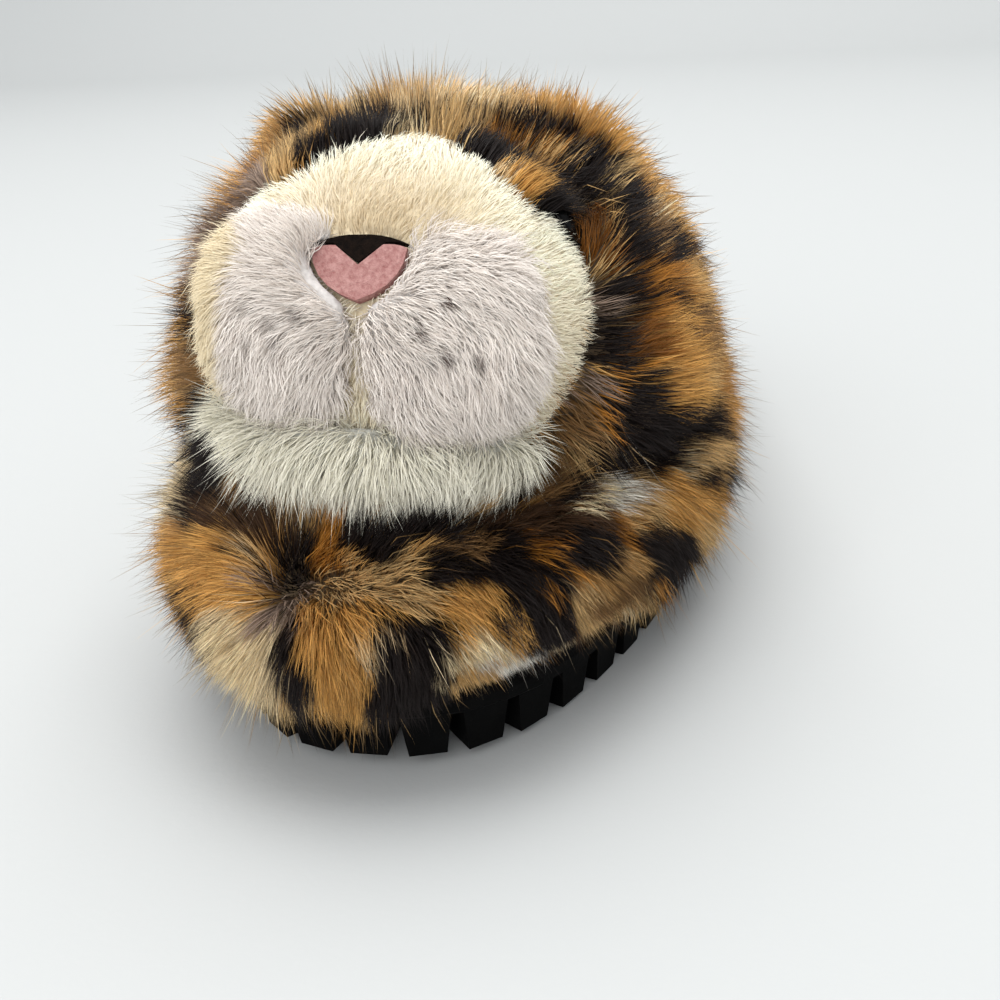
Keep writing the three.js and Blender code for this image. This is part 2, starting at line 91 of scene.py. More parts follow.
sweep_mesh = bmesh.new()
front = [sweep_mesh.verts.new((x, sweep_front, 0)) for x in (-sweep_half_width, sweep_half_width)]
back = [sweep_mesh.verts.new((x, sweep_back, 0)) for x in (-sweep_half_width, sweep_half_width)]
sweep_mesh.faces.new((front[0], front[1], back[1], back[0]))
fold = sweep_mesh.edges.get(back)
spun = bmesh.ops.spin(sweep_mesh, geom=[fold, *back], cent=(0, sweep_back, sweep_radius),
                      axis=(1, 0, 0), angle=sweep_turn, steps=sweep_steps)["geom_last"]
wall_foot = [g for g in spun if isinstance(g, bmesh.types.BMEdge)]
wall = bmesh.ops.extrude_edge_only(sweep_mesh, edges=wall_foot)["geom"]
bmesh.ops.translate(sweep_mesh, verts=[g for g in wall if isinstance(g, bmesh.types.BMVert)],
                    vec=(0, wall_lean, sweep_rise))
bmesh.ops.recalc_face_normals(sweep_mesh, faces=sweep_mesh.faces)
sweep_data = bpy.data.meshes.new("paper_sweep")
sweep_mesh.to_mesh(sweep_data)
sweep_mesh.free()
for face in sweep_data.polygons:
    face.use_smooth = True
sweep = bpy.data.objects.new("paper_sweep", sweep_data)
scene.collection.objects.link(sweep)


def surface(name, colour, roughness, **settings):
    """New material with one Principled shader, its constants set on its own sockets"""
    material = bpy.data.materials.new(name)
    material.use_nodes = True
    shader = material.node_tree.nodes["Principled BSDF"]
    shader.inputs["Base Color"].default_value = (*colour, 1)
    shader.inputs["Roughness"].default_value = roughness
    for socket, value in settings.items():
        shader.inputs[socket.replace("_", " ")].default_value = value
    return material, material.node_tree, shader


def grain(tree, size, detail=3.0, rough=0.55):
    """Noise on Object coordinates whose spots are about the size given"""
    place = tree.nodes.new("ShaderNodeTexCoord")
    noise = tree.nodes.new("ShaderNodeTexNoise")
    noise.inputs["Scale"].default_value = 1 / size
    noise.inputs["Detail"].default_value = detail
    noise.inputs["Roughness"].default_value = rough
    tree.links.new(place.outputs["Object"], noise.inputs["Vector"])
    return noise


def shades(tree, shader, noise, stops):
    """Colours spread over a noise, into the shader's base colour"""
    ramp = tree.nodes.new("ShaderNodeValToRGB")
    while len(ramp.color_ramp.elements) < len(stops):
        ramp.color_ramp.elements.new(0.5)
    for element, (spot, colour) in zip(ramp.color_ramp.elements, stops):
        element.position = spot
        element.color = (*colour, 1)
    tree.links.new(noise.outputs["Fac"], ramp.inputs["Fac"])
    tree.links.new(ramp.outputs["Color"], shader.inputs["Base Color"])


def relief(tree, shader, noise, height, strength=1.0):
    """Noise as bump, its height in metres"""
    bump = tree.nodes.new("ShaderNodeBump")
    bump.inputs["Distance"].default_value = height
    bump.inputs["Strength"].default_value = strength
    tree.links.new(noise.outputs["Fac"], bump.inputs["Height"])
    tree.links.new(bump.outputs["Normal"], shader.inputs["Normal"])


paper, paper_tree, paper_shader = surface("white_paper", (0.50, 0.513, 0.513), 0.85)
relief(paper_tree, paper_shader, grain(paper_tree, 0.002), 0.00005)
sweep_data.materials.append(paper)


def soft_light(name, place, aim, width, power, colour):
    """Square softbox at a place, facing its aim"""
    lamp = bpy.data.objects.new(name, bpy.data.lights.new(name, "AREA"))
    scene.collection.objects.link(lamp)
    lamp.location = place
    lamp.rotation_euler = (Vector(aim) - Vector(place)).to_track_quat("-Z", "Y").to_euler()
    lamp.data.size = width
    lamp.data.energy = power
    lamp.data.color = colour


soft_light("overhead_softbox", (-0.05, 0.30, 1.85), (0, 0.05, 0), 1.9, 42, (1.0, 0.995, 0.98))
soft_light("front_softbox", (-0.2, -1.35, 0.9), (0, -0.05, 0.06), 1.2, 11, (1.0, 0.99, 0.98))
world = bpy.data.worlds.new("room")
world.use_nodes = True
world.node_tree.nodes["Background"].inputs["Color"].default_value = (0.96, 0.98, 1.0, 1)
world.node_tree.nodes["Background"].inputs["Strength"].default_value = 0.72
scene.world = world
scene.view_settings.view_transform = "Standard"

# Outsole: one moulding of black rubber with tapered lugs and a stepped edge, glued under
# the wrapped platform. Its skin is dull and slightly dusty where it is handled.
rubber, tree, shader = surface("black_rubber", (0.002, 0.002, 0.002), 0.6, Specular_IOR_Level=0.03)
shades(tree, shader, grain(tree, 0.012), [(0.35, (0.0015, 0.0015, 0.0015)), (0.7, (0.0035, 0.0035, 0.0035))])
relief(tree, shader, grain(tree, 0.0007), 0.00008)
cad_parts["outsole"].data.materials.clear()
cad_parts["outsole"].data.materials.append(rubber)

# Platform: foam wrapped in deep leopard pile. The backing cloth is stretched over the foam
# and glued under its edge. The pile stands 8 to 13 mm off it and hides every seam.

def walls_of(names):
    """Search tree of the solids of these names"""
    corners, faces = [], []
    for name in names:
        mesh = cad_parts[name].data
        faces += [[len(corners) + i for i in face.vertices] for face in mesh.polygons]
        corners += [vertex.co for vertex in mesh.vertices]
    return BVHTree.FromPolygons(corners, faces)


def even_skin(node, name, even, rounds, sink=0.0):
    """Copy of a solid's skin made even, with the locks smoothed off it, in the solid's place;
    it may lie a little inside the solid, so that the pile's ends reach the outline"""
    skin = bpy.data.objects.new(name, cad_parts[node].data.copy())
    scene.collection.objects.link(skin)
    skin_mesh = bmesh.new()
    skin_mesh.from_mesh(skin.data)
    bmesh.ops.remove_doubles(skin_mesh, verts=skin_mesh.verts, dist=1e-6)
    skin_mesh.to_mesh(skin.data)
    remesh = skin.modifiers.new("even", "REMESH")
    remesh.mode = "VOXEL"
    remesh.voxel_size = even
    even_data = bpy.data.meshes.new_from_object(skin.evaluated_get(bpy.context.evaluated_depsgraph_get()))
    skin.modifiers.clear()
    skin_mesh.clear()
    skin_mesh.from_mesh(even_data)
    for _ in range(rounds):
        bmesh.ops.smooth_vert(skin_mesh, verts=skin_mesh.verts, factor=0.5, use_axis_x=True,
                              use_axis_y=True, use_axis_z=True)
    skin_mesh.normal_update()
    for vertex in skin_mesh.verts:
        vertex.co -= vertex.normal * sink
    skin_mesh.to_mesh(even_data)
    skin_mesh.free()
    for face in even_data.polygons:
        face.use_smooth = True
    skin.data = even_data
    even_data.materials.clear()
    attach(skin, "root")
    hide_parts(node)
    return skin


def backing_cloth(node, even, rounds, colour, sink=0.0):
    """Woven cloth under the pile, in a solid's place"""
    cloth = even_skin(node, f"{node}_cloth", even, rounds, sink)
    material, tree, shader = surface(f"{node}_cloth", colour, 0.9)
    weave = grain(tree, 0.0012)
    dark, light = (tuple(share * part for part in colour) for share in (0.8, 1.2))
    shades(tree, shader, weave, [(0.3, dark), (0.7, light)])
    relief(tree, shader, weave, 0.0002)
    cloth.data.materials.append(material)
    return cloth


def ripple(spots, size, seed):
    """Soft random value about -1 to 1 that changes over the size given"""
    chance = np.random.default_rng(seed)
    value = np.zeros(len(spots))
    for _ in range(8):
        wave = chance.normal(size=3)
        wave *= 2 * math.pi * chance.uniform(0.6, 1.3) / (size * np.linalg.norm(wave))
        value += np.sin(spots @ wave + chance.uniform(0, 2 * math.pi))
    return value / 3


def unit(vectors):
    """The same directions, each one long"""
    return vectors / np.maximum(np.linalg.norm(vectors, axis=1, keepdims=True), 1e-9)


def blended(under, over, share):
    """One colour laid over another by a share for each hair"""
    return under + (over - under) * share[:, None]


def linear(code):
    """Linear colour of a six-figure hex code"""
    parts = np.array([int(code[i:i + 2], 16) / 255 for i in (0, 2, 4)])
    return np.where(parts < 0.04045, parts / 12.92, ((parts + 0.055) / 1.055) ** 2.4)


def hair_places(cloth, count, seed, walls, clear, wanted):
    """Random spots on the cloth where pile shows: place and normal of each hair"""
    mesh = cloth.data
    mesh.calc_loop_triangles()
    corner = np.empty(3 * len(mesh.loop_triangles), np.int32)
    mesh.loop_triangles.foreach_get("vertices", corner)
    corner = corner.reshape(-1, 3)
    place = np.empty(3 * len(mesh.vertices))
    mesh.vertices.foreach_get("co", place)
    place = place.reshape(-1, 3)
    normal = np.empty(3 * len(mesh.vertices), np.float32)
    mesh.vertices.foreach_get("normal", normal)
    normal = normal.reshape(-1, 3).astype(float)
    a, b, c = (place[corner[:, i]] for i in range(3))
    across = np.cross(b - a, c - a)
    middle, facing = (a + b + c) / 3, unit(across)
    share = np.linalg.norm(across, axis=1) * wanted(middle, facing)
    for i in np.flatnonzero(share > 0):
        start = Vector(middle[i] + 0.001 * facing[i])
        if walls.ray_cast(start, Vector(facing[i]), clear)[0] is not None:
            share[i] = 0
    chance = np.random.default_rng(seed)
    pick = chance.choice(len(share), count, p=share / share.sum())
    u, v = chance.random(count), chance.random(count)
    over = u + v > 1
    u[over], v[over] = 1 - u[over], 1 - v[over]
    w = 1 - u - v
    parts = [corner[pick, i] for i in range(3)]
    spots = sum(place[p] * s[:, None] for p, s in zip(parts, (w, u, v)))
    normals = unit(sum(normal[p] * s[:, None] for p, s in zip(parts, (w, u, v))))
    return spots, normals


# How the hairs of any pile differ from each other. A swirl has a size in metres and the most
# that it changes a hair: its turn or lean in radians, or a share of its length.
PILE_ROOM = ((-0.0770, -0.1670, 0.0010), (0.0770, 0.1670, 0.1396))
BROAD_TURN, FINE_TURN = (0.030, 0.40), (0.008, 0.25)
LEAN_SWIRL, LENGTH_SWIRL = (0.020, 0.18), (0.012, 0.10)
HAIR_TURN, HAIR_LEAN, HAIR_TWIST = 0.28, 0.16, 0.5
SHORT_HAIR, GUARD_HAIR = (0.60, 0.92), (1.25, 1.75)
GUARD_WIDTH = 0.7
LOW_BEND, HIGH_BEND = 0.65, 1.3


def swirl(spots, kind, seed):
    """How much a swirl changes the hair at each spot"""
    size, most = kind
    return most * ripple(spots, size, seed)


def pile(name, places, lay, length, width, lean, tuft, paint, seed, keep=None, long_share=0.12):
    """Mesh of tapered hairs, each bent once along the lay and drawn a little to its tuft.
    The greater share is short and dense; long guard hairs stand past it."""
    spots, normals = places
    chance = np.random.default_rng(seed)
    count = len(spots)
    lay = unit(lay - normals * np.sum(lay * normals, axis=1, keepdims=True))
    cross = np.cross(normals, lay)
    turn = swirl(spots, BROAD_TURN, seed + 1) + swirl(spots, FINE_TURN, seed + 2)
    turn += chance.normal(0, HAIR_TURN, count)
    aim = lay * np.cos(turn)[:, None] + cross * np.sin(turn)[:, None]
    tilt = lean + swirl(spots, LEAN_SWIRL, seed + 3) + chance.normal(0, HAIR_LEAN, count)
    reach = length * chance.uniform(*SHORT_HAIR, count) * (1 + swirl(spots, LENGTH_SWIRL, seed + 4))
    long_hair = chance.random(count) < long_share
    reach[long_hair] *= chance.uniform(*GUARD_HAIR, int(long_hair.sum()))
    thick = np.where(long_hair, GUARD_WIDTH, 1.0) * width
    low, high = (tilt * LOW_BEND)[:, None], (tilt * HIGH_BEND)[:, None]
    middle = spots + (normals * np.cos(low) + aim * np.sin(low)) * (0.5 * reach)[:, None]
    tip = middle + (normals * np.cos(high) + aim * np.sin(high)) * (0.5 * reach)[:, None]
    heads = chance.choice(count, max(8, int(count * tuft["share"])), replace=False)
    tree = KDTree(len(heads))
    for i, head_hair in enumerate(heads):
        tree.insert(spots[head_hair], i)
    tree.balance()
    nearest = heads[[tree.find(spot)[1] for spot in spots]]
    pull = tuft["pull"] * chance.uniform(0.2, 1.0, count)[:, None]
    tip += (tip[nearest] - tip) * pull
    middle += (middle[nearest] - middle) * (0.35 * pull)
    middle, tip = np.clip(middle, *PILE_ROOM), np.clip(tip, *PILE_ROOM)
    if keep is not None:
        left = keep(tip) & keep(middle)
        spots, normals, middle, tip, thick, long_hair = (
            values[left] for values in (spots, normals, middle, tip, thick, long_hair))
        count = len(spots)
    stem = unit(tip - spots)
    flat = unit(np.cross(stem, normals) + chance.normal(0, HAIR_TWIST, (count, 3)))
    half = 0.5 * (thick * chance.uniform(0.7, 1.2, count))[:, None] * flat
    rings = [spots - half, spots + half, middle + 0.85 * half, middle - 0.85 * half, tip]
    corners = np.stack(rings, axis=1).reshape(-1, 3)
    base = 5 * np.arange(count)[:, None]
    faces = (base[:, None] + np.array([[0, 1, 2], [0, 2, 3], [3, 2, 4]])).reshape(-1)
    mesh = bpy.data.meshes.new(name)
    mesh.vertices.add(5 * count)
    mesh.vertices.foreach_set("co", corners.ravel())
    mesh.loops.add(9 * count)
    mesh.loops.foreach_set("vertex_index", faces.astype(np.int32))
    mesh.polygons.add(3 * count)
    mesh.polygons.foreach_set("loop_start", 3 * np.arange(3 * count, dtype=np.int32))
    mesh.polygons.foreach_set("use_smooth", np.ones(3 * count, bool))
    mesh.update(calc_edges=True)
    side = math.ceil(math.sqrt(count))
    cell = np.stack([np.arange(count) % side, np.arange(count) // side], axis=1) / side
    shape = np.array([[0.15, 0.1], [0.85, 0.1], [0.85, 0.5], [0.15, 0.5], [0.5, 0.9]]) / side
    chart = (cell[:, None] + shape).reshape(-1, 2)[faces]
    mesh.uv_layers.new(name="OFBake").data.foreach_set("uv", chart.ravel())
    tint = mesh.attributes.new("hair_colour", "FLOAT_COLOR", "POINT")
    root, body, end = paint(spots + 0.7 * (tip - spots), normals, chance, long_hair)
    tints = np.ones((count, 5, 4))
    for ring, colour in zip(range(5), (root, root, body, body, end)):
        tints[:, ring, :3] = np.clip(colour, 0.002, 0.95)
    tint.data.foreach_set("color", tints.ravel())
    material, tree, shader = surface(name, (0.5, 0.4, 0.3), 0.6, Specular_IOR_Level=0.2)
    colour = tree.nodes.new("ShaderNodeAttribute")
    colour.attribute_name = "hair_colour"
    tree.links.new(colour.outputs["Color"], shader.inputs["Base Color"])
    hair = bpy.data.objects.new(name, mesh)
    scene.collection.objects.link(hair)
    mesh.materials.append(material)
    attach(hair, "root")
    return hair


# The leopard pattern: blots as seen in the picture, each with its centre and half sizes in
# picture pixels, its turn in degrees and its tone. Blots lower in the list lie on top. Some dark and
# umber blots are painted shade: under the chin and cheek, and in the crease beside the cheek.
TONES = {
    "dark": "18100E", "umber": "4A3320", "rust": "8A561E", "gold": "D6A258", "orange": "B67A30",
    "tan": "D8B47C", "cream": "EDD6AC", "white": "F6EFE2", "grey": "978273", "brown": "8D6A42",
}
PATTERN_AND_SHADE_BLOTS = [
    # x, y, half width, half height, turn, tone: the front of the platform
    (230, 508, 44, 26, 0, "brown"), (190, 580, 42, 52, 0, "gold"), (225, 675, 50, 52, -15, "cream"),
    (278, 602, 36, 34, 0, "grey"), (380, 592, 55, 36, 0, "tan"), (362, 630, 32, 18, -10, "gold"),
    (332, 690, 26, 64, 5, "gold"), (330, 546, 20, 26, 10, "orange"), (490, 615, 32, 32, 10, "gold"),
    (470, 550, 22, 20, 0, "brown"), (556, 572, 27, 38, -10, "orange"), (545, 524, 24, 18, 0, "rust"),
    (600, 616, 36, 26, 15, "tan"), (634, 530, 20, 24, 0, "orange"), (664, 508, 38, 20, -10, "tan"),
    (716, 550, 18, 54, 12, "tan"), (645, 592, 42, 18, 15, "brown"), (650, 630, 30, 16, 20, "tan"),
    # painted shade: the dark blot at 410, 526 darkens the umber pile under the chin, where shade falls
    (303, 550, 17, 34, 0, "dark"), (410, 526, 66, 22, 0, "dark"), (334, 540, 14, 24, 5, "orange"),
    (465, 578, 26, 13, -15, "dark"), (512, 552, 20, 46, 5, "dark"), (592, 541, 30, 27, -30, "dark"),
    (676, 562, 31, 36, 20, "dark"), (690, 602, 22, 14, 40, "dark"), (545, 628, 30, 42, 0, "dark"),
    (428, 634, 32, 14, 5, "dark"), (410, 695, 42, 44, 25, "dark"), (384, 712, 22, 40, 0, "dark"),
    (287, 690, 15, 56, 5, "dark"), (258, 572, 40, 9, -30, "dark"), (170, 628, 15, 32, 25, "dark"),
    (188, 492, 24, 28, 0, "dark"), (470, 666, 34, 17, 30, "cream"), (522, 668, 26, 12, 10, "white"),
    (612, 644, 40, 9, 18, "cream"),
    # the head, from the left corner over the top to the right
    (200, 250, 44, 60, 30, "grey"), (238, 192, 40, 30, 40, "grey"), (180, 300, 26, 30, 0, "umber"),
    (335, 106, 34, 20, 0, "gold"), (470, 98, 56, 26, 0, "tan"), (408, 120, 20, 18, 0, "cream"),
    (535, 116, 38, 18, -15, "orange"), (455, 146, 28, 10, -20, "cream"), (540, 178, 44, 18, -25, "gold"),
    (612, 128, 20, 14, -40, "gold"), (628, 148, 18, 14, -40, "tan"), (600, 226, 32, 28, 0, "rust"),
    (276, 166, 26, 22, 30, "tan"), (250, 186, 24, 22, 40, "grey"), (666, 208, 20, 24, -50, "brown"),
    (674, 280, 30, 38, -15, "orange"), (620, 268, 22, 14, 0, "tan"), (612, 300, 22, 12, 0, "grey"),
    (692, 352, 30, 36, -10, "gold"), (612, 384, 26, 18, 10, "grey"), (640, 371, 26, 12, 0, "orange"),
    (616, 424, 22, 42, 0, "orange"), (568, 452, 36, 32, 0, "tan"), (716, 456, 20, 14, -20, "tan"),
    (178, 362, 28, 26, 0, "brown"), (286, 108, 26, 24, -20, "dark"),
    (356, 123, 30, 12, 12, "dark"), (324, 146, 20, 11, 30, "dark"), (376, 97, 50, 15, 0, "dark"),
    (515, 99, 38, 13, -8, "dark"), (571, 114, 18, 18, 0, "dark"), (462, 126, 28, 8, 10, "dark"),
    (502, 138, 24, 14, -20, "dark"), (514, 157, 25, 13, 0, "dark"), (592, 166, 38, 24, 0, "dark"),
    (606, 142, 22, 12, 20, "dark"), (641, 182, 23, 26, -20, "dark"), (574, 204, 26, 12, 0, "dark"),
    (650, 236, 15, 34, 10, "dark"), (684, 236, 12, 18, -30, "dark"), (642, 286, 24, 22, -30, "dark"),
    (599, 281, 15, 14, 40, "umber"), (692, 290, 9, 13, 0, "dark"), (612, 337, 32, 21, 0, "dark"),
    (656, 334, 14, 34, -10, "dark"), (664, 410, 34, 26, -15, "dark"), (712, 420, 26, 22, 0, "dark"),
    # painted shade: the dark blot at 668, 446 is the shade in the crease between the cheek and the
    # platform's side
    (668, 446, 36, 32, 0, "dark"), (712, 492, 26, 24, -35, "dark"), (618, 468, 22, 26, 0, "dark"),
    (178, 316, 26, 20, 0, "dark"), (190, 420, 42, 30, 0, "dark"), (215, 470, 48, 28, 20, "dark"),
    # painted shade: the dark blot at 560, 493 fills the shaded gap between the cheek's lower edge and the
    # platform
    (226, 236, 18, 24, 30, "umber"), (560, 493, 42, 10, 0, "dark"), (590, 258, 12, 7, 0, "cream"),
    (620, 498, 30, 9, 5, "white"), (706, 236, 10, 16, -20, "umber"), (716, 318, 10, 22, 0, "umber"),
    (700, 388, 26, 14, 0, "gold"), (728, 418, 12, 22, 0, "dark"), (738, 480, 12, 30, 0, "dark"),
    (724, 462, 16, 10, 0, "tan"), (586, 420, 20, 22, 0, "brown"), (590, 392, 20, 12, 0, "grey"),
    # painted shade: the umber bands at 560, 520 and 250, 512 darken the pile along the row under the chin
    # and cheek
    (545, 470, 22, 30, 0, "brown"), (560, 520, 60, 14, 0, "umber"), (250, 512, 60, 12, 0, "umber"),
    (160, 480, 20, 34, 0, "cream"), (690, 228, 20, 16, -40, "dark"), (668, 330, 14, 22, 0, "rust"),
    (722, 330, 14, 26, 0, "brown"), (646, 400, 20, 16, 0, "dark"), (600, 500, 12, 8, 0, "cream"),
    (736, 508, 12, 16, 0, "gold"), (690, 505, 30, 24, 10, "gold"),
]
tone_colour = {tone: linear(code) for tone, code in TONES.items()}
picture_scale = camera_lens / 36 * picture_size
fur_walls = walls_of(["platform_wrap", "head", "upper", "ear_left", "ear_right"])
face_x, face_y = 490, 420  # middle of the face in the picture
whorl_x, whorl_y = 282, 604
pile_half = 0.006
inward_steps = (0.0, 0.05, 0.10, 0.16)


def sight_line(x, y):
    """Direction from the eye through a spot of the picture"""
    half = picture_size / 2
    aim = picture_right * (x - half) + picture_up * (half - y) - camera_back * picture_scale
    return aim.normalized()


def in_picture(points):
    """Picture pixels at which the camera sees each point"""
    away = points - np.array(eye)
    scale = picture_scale / -(away @ np.array(camera_back))
    half = picture_size / 2
    return half + away @ np.array(picture_right) * scale, half - away @ np.array(picture_up) * scale


def blots_in_place():
    """Each blot where its sight line meets the fur: centre, axes, half sizes and colour. Near
    the outline the fur's depth is taken a little further in, towards the face."""
    found = []
    for x, y, wide, tall, turn, tone in PATTERN_AND_SHADE_BLOTS:
        spans = []
        for inward in inward_steps:
            aim = sight_line(x + (face_x - x) * inward, y + (face_y - y) * inward)
            spans.append(fur_walls.ray_cast(eye, aim)[3])
        spans = [span for span in spans if span is not None]
        if not spans:
            continue
        aim, span = sight_line(x, y), min(spans)
        scale = span * aim.dot(-camera_back) / picture_scale
        angle = math.radians(turn)
        along = picture_right * math.cos(angle) + picture_up * math.sin(angle)
        over = picture_up * math.cos(angle) - picture_right * math.sin(angle)
        centre = eye + aim * (span - pile_half)
        found.append((np.array(centre), np.array(along), np.array(over), wide * scale, tall * scale,
                      tone_colour[tone]))
    return found


placed_blots = blots_in_place()
blot_front, blot_behind, blot_fade = 0.020, 0.070, 0.015
warp_size, warp_reach = 0.011, 0.0022
loose_edge, loose_ripple = 0.0024, 0.014
hollow_share, hollow_edge, hollow_from = 0.42, 0.0030, 0.0088
charted_edge, charted_ripple = 0.20, 0.009
view_back = np.array(camera_back)


def leopard(spots, seed, seen):
    """Tone of the pile at each spot: charted blots where the picture shows them, and
    scattered blots of the same sizes round the rest of the shoe"""
    chance = np.random.default_rng(seed)
    warp = np.stack([ripple(spots, warp_size, seed + k) for k in range(3)], axis=1) * warp_reach
    at = spots + warp
    warm = 0.5 + 0.5 * ripple(at, 0.05, 71)
    ground = blended(np.tile(tone_colour["gold"], (len(at), 1)), tone_colour["tan"], np.clip(warm, 0, 1))
    ground = blended(ground, tone_colour["orange"], np.clip(ripple(at, 0.035, 72) - 0.45, 0, 1))
    ground = blended(ground, tone_colour["cream"], np.clip(ripple(at, 0.045, 73) - 0.6, 0, 1) * 1.3)
    tree = KDTree(len(blot_centres))
    for i, centre in enumerate(blot_centres):
        tree.insert(centre, i)
    tree.balance()
    found = [tree.find(spot) for spot in at]
    gap = np.array([f[2] for f in found])
    which = np.array([f[1] for f in found])
    radius = blot_radii[which] * (1 + 0.32 * ripple(at, loose_ripple, 74))
    ring = np.clip((radius - gap) / loose_edge + 0.5, 0, 1)
    hollow = np.clip((hollow_share * radius - gap) / hollow_edge + 0.5, 0, 1)
    hollow *= blot_radii[which] > hollow_from
    loose = blended(ground, tone_colour["dark"], ring * (1 - hollow))
    loose = blended(loose, tone_colour["brown"], hollow)
    charted = ground
    for centre, along, over, wide, tall, colour in placed_blots:
        offset = at - centre
        depth = offset @ view_back
        reach = (offset @ along / wide) ** 2 + (offset @ over / tall) ** 2
        past = np.maximum(depth - blot_front, 0) + np.maximum(-depth - blot_behind, 0)
        reach += (past / blot_fade) ** 2
        reach = np.sqrt(reach) * (1 + 0.16 * ripple(at, charted_ripple, 75))
        charted = blended(charted, colour, np.clip((1.28 - reach) / charted_edge, 0, 1))
    return blended(loose, charted, seen) * chance.normal(1, 0.10, (len(at), 1))


def in_sight(spots, normals):
    """Share of the charted pattern at each spot: 1 on the front and the top of the shoe"""
    facing = np.sum(normals * unit(np.array(eye) - spots), axis=1)
    reach_back = 0.020 + 0.035 * np.clip(normals[:, 2], 0, 1)
    return np.clip((facing + 0.55) / 0.2, 0, 1) * np.clip((reach_back - spots[:, 1]) / 0.02, 0, 1)


def leopard_paint(seed):
    """Paint for leopard pile: root, middle and end of each hair; most long hairs end dark. Roots are painted
    darker as shade deep in the pile, ends lighter as a painted highlight
    """
    def paint(shown, normals, chance, long_hair):
        tone = leopard(shown, seed, in_sight(shown, normals))
        dark_end = np.where(chance.random(len(tone)) < np.where(long_hair, 0.9, 0.25), 0.85, 0.0)
        # painted highlight on each hair's end (tone * 1.10 + 0.010) and painted shade at its root (tone *
        # 0.55)
        end = blended(tone * 1.10 + 0.010, tone_colour["dark"], dark_end)
        body = blended(tone, tone_colour["dark"], 0.6 * dark_end * long_hair)
        return tone * 0.55, body, end
    return paint


# Centres of the scattered blots, spaced evenly over the fur's solids
blot_spacing = 0.022
blot_sizes = (0.0068, 0.0118)
scatter_chance = np.random.default_rng(5)
candidates = np.array([v.co for name in ("platform_wrap", "upper", "head")
                       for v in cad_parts[name].data.vertices])
candidates = candidates[scatter_chance.permutation(len(candidates))]
blot_centres = []
for spot in candidates:
    if all(np.linalg.norm(spot - other) > blot_spacing for other in blot_centres):
        blot_centres.append(spot)
blot_centres = np.array(blot_centres)
blot_radii = scatter_chance.uniform(*blot_sizes, len(blot_centres))

wrap = backing_cloth("platform_wrap", 0.003, 26, (0.16, 0.11, 0.06))
wrap_walls = walls_of(["insole", "outsole", "upper"])
whorl = np.array(walls_of(["platform_wrap"]).ray_cast(eye, sight_line(whorl_x, whorl_y))[0])
wrap_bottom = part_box("platform_wrap")[0].z
wrap_length = 0.0140
whorl_reach = 0.060
inner_side, rim_bottom = -0.045, 0.040
bare_from, bare_front, bare_height = 0.020, -0.088, 0.022


def wrap_pile(name, count, width, seed, wanted):
    """One stretch of the platform's pile. It runs away from the whorl and hangs over the lugs
    at the toe's inner side; at the outer side it is short low down, so that they show."""
    places = hair_places(wrap, count, seed, wrap_walls, 0.006, lambda at, facing: wanted(at))
    spots, normals = places
    away = spots - whorl
    near = np.clip(1 - np.linalg.norm(away, axis=1) / whorl_reach, 0, 1)[:, None]
    lay = unit(away) * near + np.array([0, 0, -0.6]) + normals * np.array([0.3, 0.3, 0])
    lay += np.clip(spots[:, 1:2] / 0.06 + 0.6, 0, 1) * np.array([0, 0.5, 0])
    inner_rim = np.clip((inner_side - spots[:, 0]) / 0.01, 0, 1)
    inner_rim *= np.clip((spots[:, 2] - rim_bottom) / 0.006, 0, 1)
    lay += inner_rim[:, None] * np.array([-0.8, 0, 1.0])
    bare = np.clip(spots[:, 0] / bare_from, 0, 1) * np.clip((bare_front - spots[:, 1]) / 0.015, 0, 1)
    low = np.clip((spots[:, 2] - wrap_bottom) / bare_height, 1 - 0.80 * bare, 1)
    pile(name, places, lay, wrap_length * low, width, 0.55 - 0.3 * inner_rim, {"share": 0.05, "pull": 0.35},
         leopard_paint(seed), seed)


toe_end, ball_end = -0.095, -0.010
wrap_pile("platform_pile_toe", 60000, 0.00026, 11, lambda at: at[:, 1] < toe_end)
wrap_pile("platform_pile_ball", 44000, 0.00030, 12,
          lambda at: (at[:, 1] >= toe_end) & (at[:, 1] < ball_end))
wrap_pile("platform_pile_heel", 24000, 0.00046, 13, lambda at: at[:, 1] >= ball_end)

# Footbed: foam under short cream plush with a low dense nap, cupped at its edge and glued
# into the platform's seat.
plush, tree, shader = surface("footbed_plush", (0.62, 0.50, 0.34), 0.9, Sheen_Weight=0.4)
nap = grain(tree, 0.0015)
shades(tree, shader, nap, [(0.3, (0.48, 0.38, 0.25)), (0.7, (0.70, 0.58, 0.42))])
relief(tree, shader, nap, 0.0006)
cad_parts["insole"].data.materials.clear()
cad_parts["insole"].data.materials.append(plush)

# Vamp: the hollow upper that holds the foot. It has pile cloth outside and the footbed's plush
# inside, turned over at the collar, and its edge is glued down between footbed and platform.
vamp = backing_cloth("upper", 0.002, 8, (0.30, 0.22, 0.13))
vamp_walls = walls_of(["head", "muzzle", "platform_wrap", "insole"])
vamp_middle = np.array([0, 0, 0.058])
vamp.data.materials.append(plush)
for face in vamp.data.polygons:
    away = (np.array(face.center) - vamp_middle) * np.array([1, 0, 1])
    face.material_index = int(away @ np.array(face.normal) < 0)


def outside_vamp(at, facing):
    """1 on the vamp's outer side"""
    away = (at - vamp_middle) * np.array([1, 0, 1])
    return (np.sum(unit(away) * facing, axis=1) > 0.15) * 1.0


places = hair_places(vamp, 15000, 21, vamp_walls, 0.004, outside_vamp)
lay = np.array([0, 0.75, -0.35]) + places[1] * np.array([0.5, 0, 0])
rim_side = np.clip((0.030 - places[0][:, 1]) / 0.02, 0.5, 1)
pile("vamp_pile", places, lay, 0.0130 * rim_side, 0.00038, 0.70, {"share": 0.05, "pull": 0.35},
     leopard_paint(21), 21)

